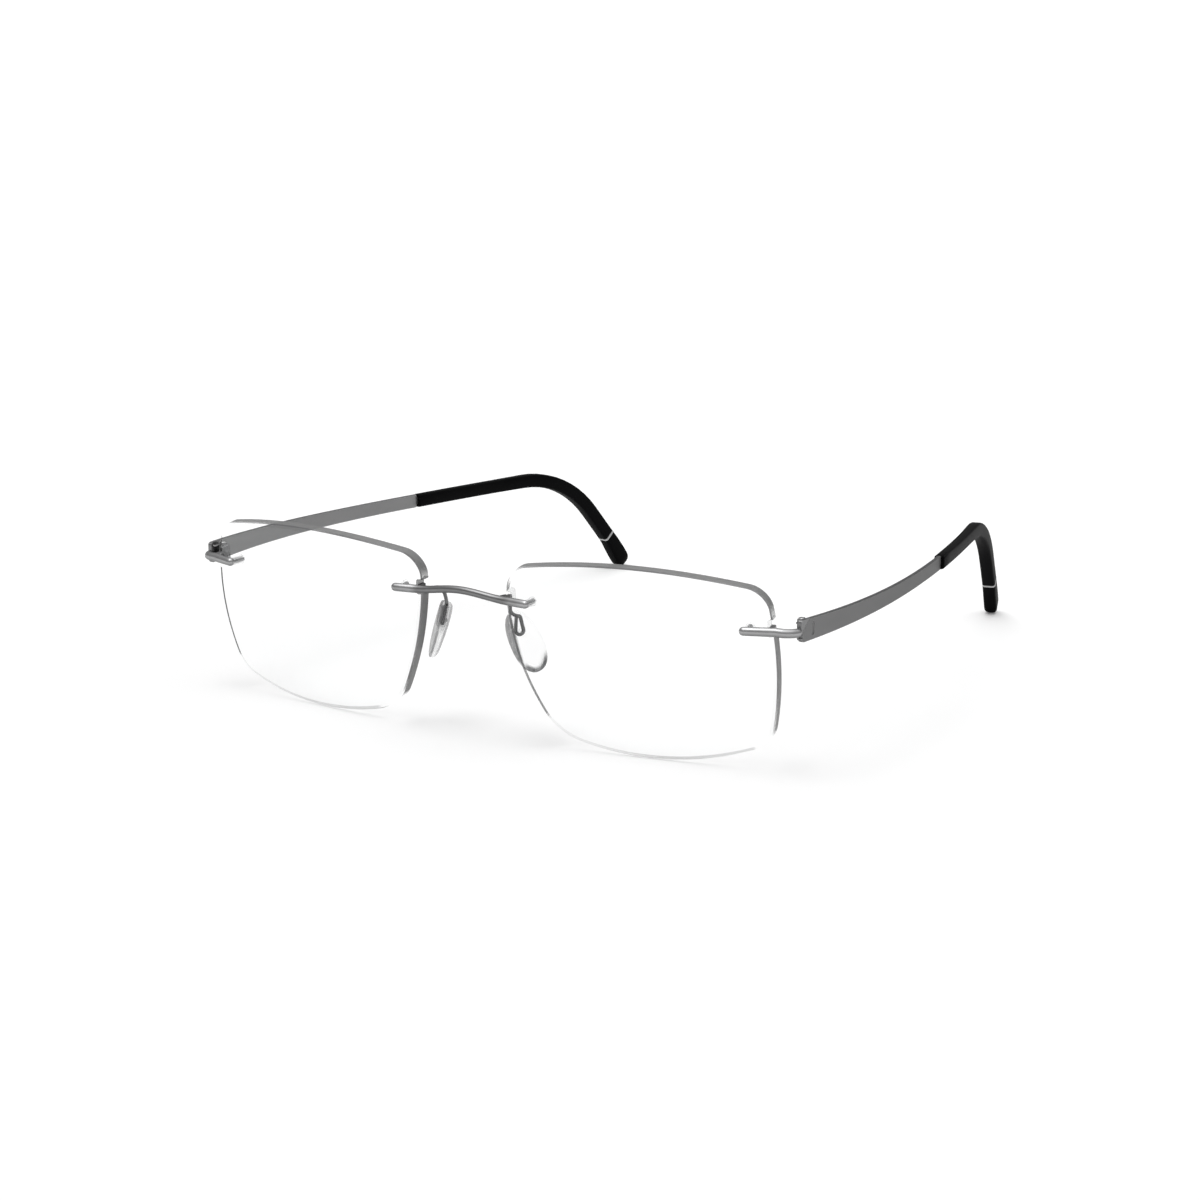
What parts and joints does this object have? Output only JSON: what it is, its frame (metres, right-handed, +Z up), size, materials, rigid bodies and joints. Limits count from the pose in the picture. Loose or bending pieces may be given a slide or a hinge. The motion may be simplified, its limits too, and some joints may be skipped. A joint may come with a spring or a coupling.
{
  "type": "rimless eyeglasses",
  "caption": "Rimless eyeglasses: clear rounded-rectangle lenses drilled onto slim metal bars, flat hinged temples with soft dark tips, nose pads on wire arms.",
  "frame": {"origin": "centre of the footprint on the table, under the open glasses; Z=0 is the plane through the lens bottoms and the temple tips", "axes": "+Z up; -Y is where the lenses face, so the temples run back along +Y; +X is the wearer's left; X=0 is the mirror plane"},
  "size_m": [0.1354, 0.1522, 0.0375],
  "materials": {
    "lens_clear": "polished clear, flat polished edge",
    "bush_clear": "clear gloss",
    "satin_metal": "satin gunmetal",
    "brushed_strip": "fine satin gunmetal",
    "pin_steel": "bright",
    "soft_black": "semi-matte",
    "ring_grey": "satin",
    "pad_silicone": "clear soft"
  },
  "bodies": {
    "front": {"bridge_bar": "satin_metal", "lens_left": "lens_clear", "lens_bush_nose_left": "bush_clear", "lens_bush_temple_left": "bush_clear", "endpiece_left": "satin_metal", "hinge_pin_left": "pin_steel", "pad_arm_left": "satin_metal", "lens_right": "lens_clear", "lens_bush_nose_right": "bush_clear", "lens_bush_temple_right": "bush_clear", "endpiece_right": "satin_metal", "hinge_pin_right": "pin_steel", "pad_arm_right": "satin_metal"},
    "left_temple": {"temple_left": "brushed_strip", "tip_sleeve_left": "soft_black", "tip_ring_left": "ring_grey"},
    "left_pad": {"nose_pad_left": "pad_silicone", "pad_insert_left": "bush_clear"},
    "right_temple": {"temple_right": "brushed_strip", "tip_sleeve_right": "soft_black", "tip_ring_right": "ring_grey"},
    "right_pad": {"nose_pad_right": "pad_silicone", "pad_insert_right": "bush_clear"}
  },
  "joints": [
    {"name": "temple_left_fold", "type": "hinge", "parent": "front", "child": "left_temple", "pos_m": [0.06455, -0.06189, 0.027], "axis": [0, 0, 1], "range_deg": [0, 82]},
    {"name": "temple_right_fold", "type": "hinge", "parent": "front", "child": "right_temple", "pos_m": [-0.06455, -0.06189, 0.027], "axis": [0, 0, -1], "range_deg": [0, 77]},
    {"name": "pad_left_rock", "type": "hinge", "parent": "front", "child": "left_pad", "pos_m": [0.00857, -0.06768, 0.02098], "axis": [-0.1756, 0.1082, 0.9785], "range_deg": [-4, 4]},
    {"name": "pad_right_rock", "type": "hinge", "parent": "front", "child": "right_pad", "pos_m": [-0.00857, -0.06768, 0.02098], "axis": [-0.1756, -0.1082, -0.9785], "range_deg": [-4, 4]}
  ]
}
